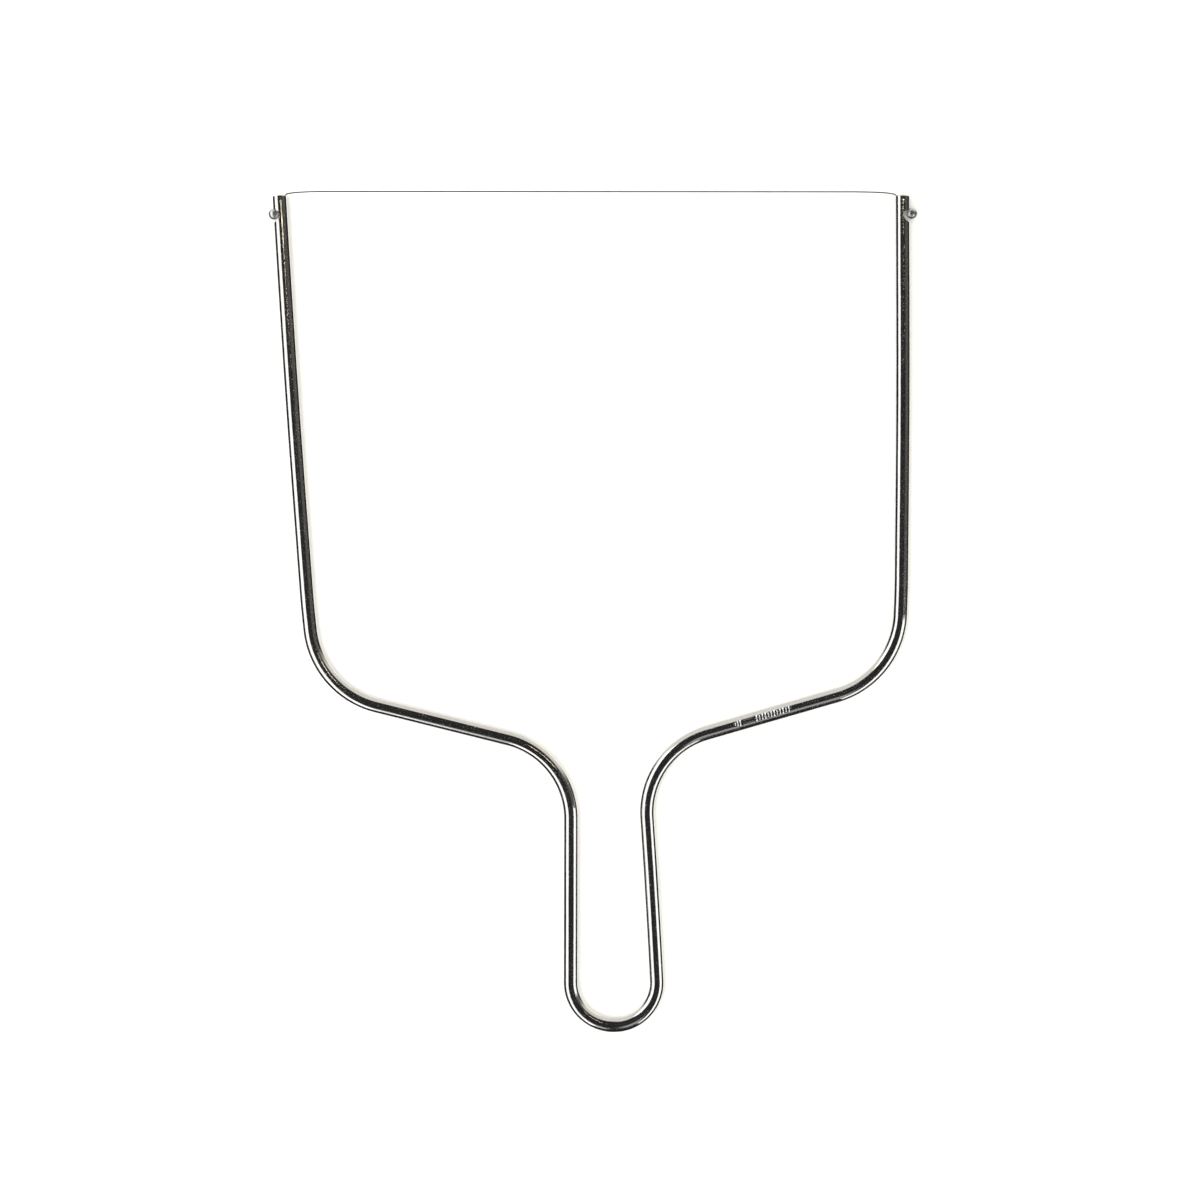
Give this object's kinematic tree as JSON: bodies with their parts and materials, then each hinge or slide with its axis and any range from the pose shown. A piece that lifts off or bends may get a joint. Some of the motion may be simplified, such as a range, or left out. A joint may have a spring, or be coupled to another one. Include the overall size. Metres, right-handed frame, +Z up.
{
  "type": "wire cutter bow",
  "caption": "Hand-held bow cutter: a bent round steel rod with a loop handle holds a thin ball-ended wire tight across its open tips.",
  "frame": {"origin": "under the middle of the whole object's box, on the surface that the bow lies on", "axes": "+Z is up out of the flat bow, the thin direction; +Y runs from the handle's end to the tips and the wire, the long direction; +X runs across the bow to the right, seen from above"},
  "size_m": [0.2334, 0.3028, 0.005],
  "materials": {
    "polished_rod": "mirror-polished stainless steel with fine drawing lines and light handling scratches",
    "drawn_wire": "bright drawn stainless steel wire",
    "satin_ball": "tumbled satin steel"
  },
  "bodies": {
    "root": {"frame_rod": "polished_rod", "cutting_wire": "drawn_wire", "ball_stop_left": "satin_ball", "ball_stop_right": "satin_ball"}
  },
  "joints": []
}
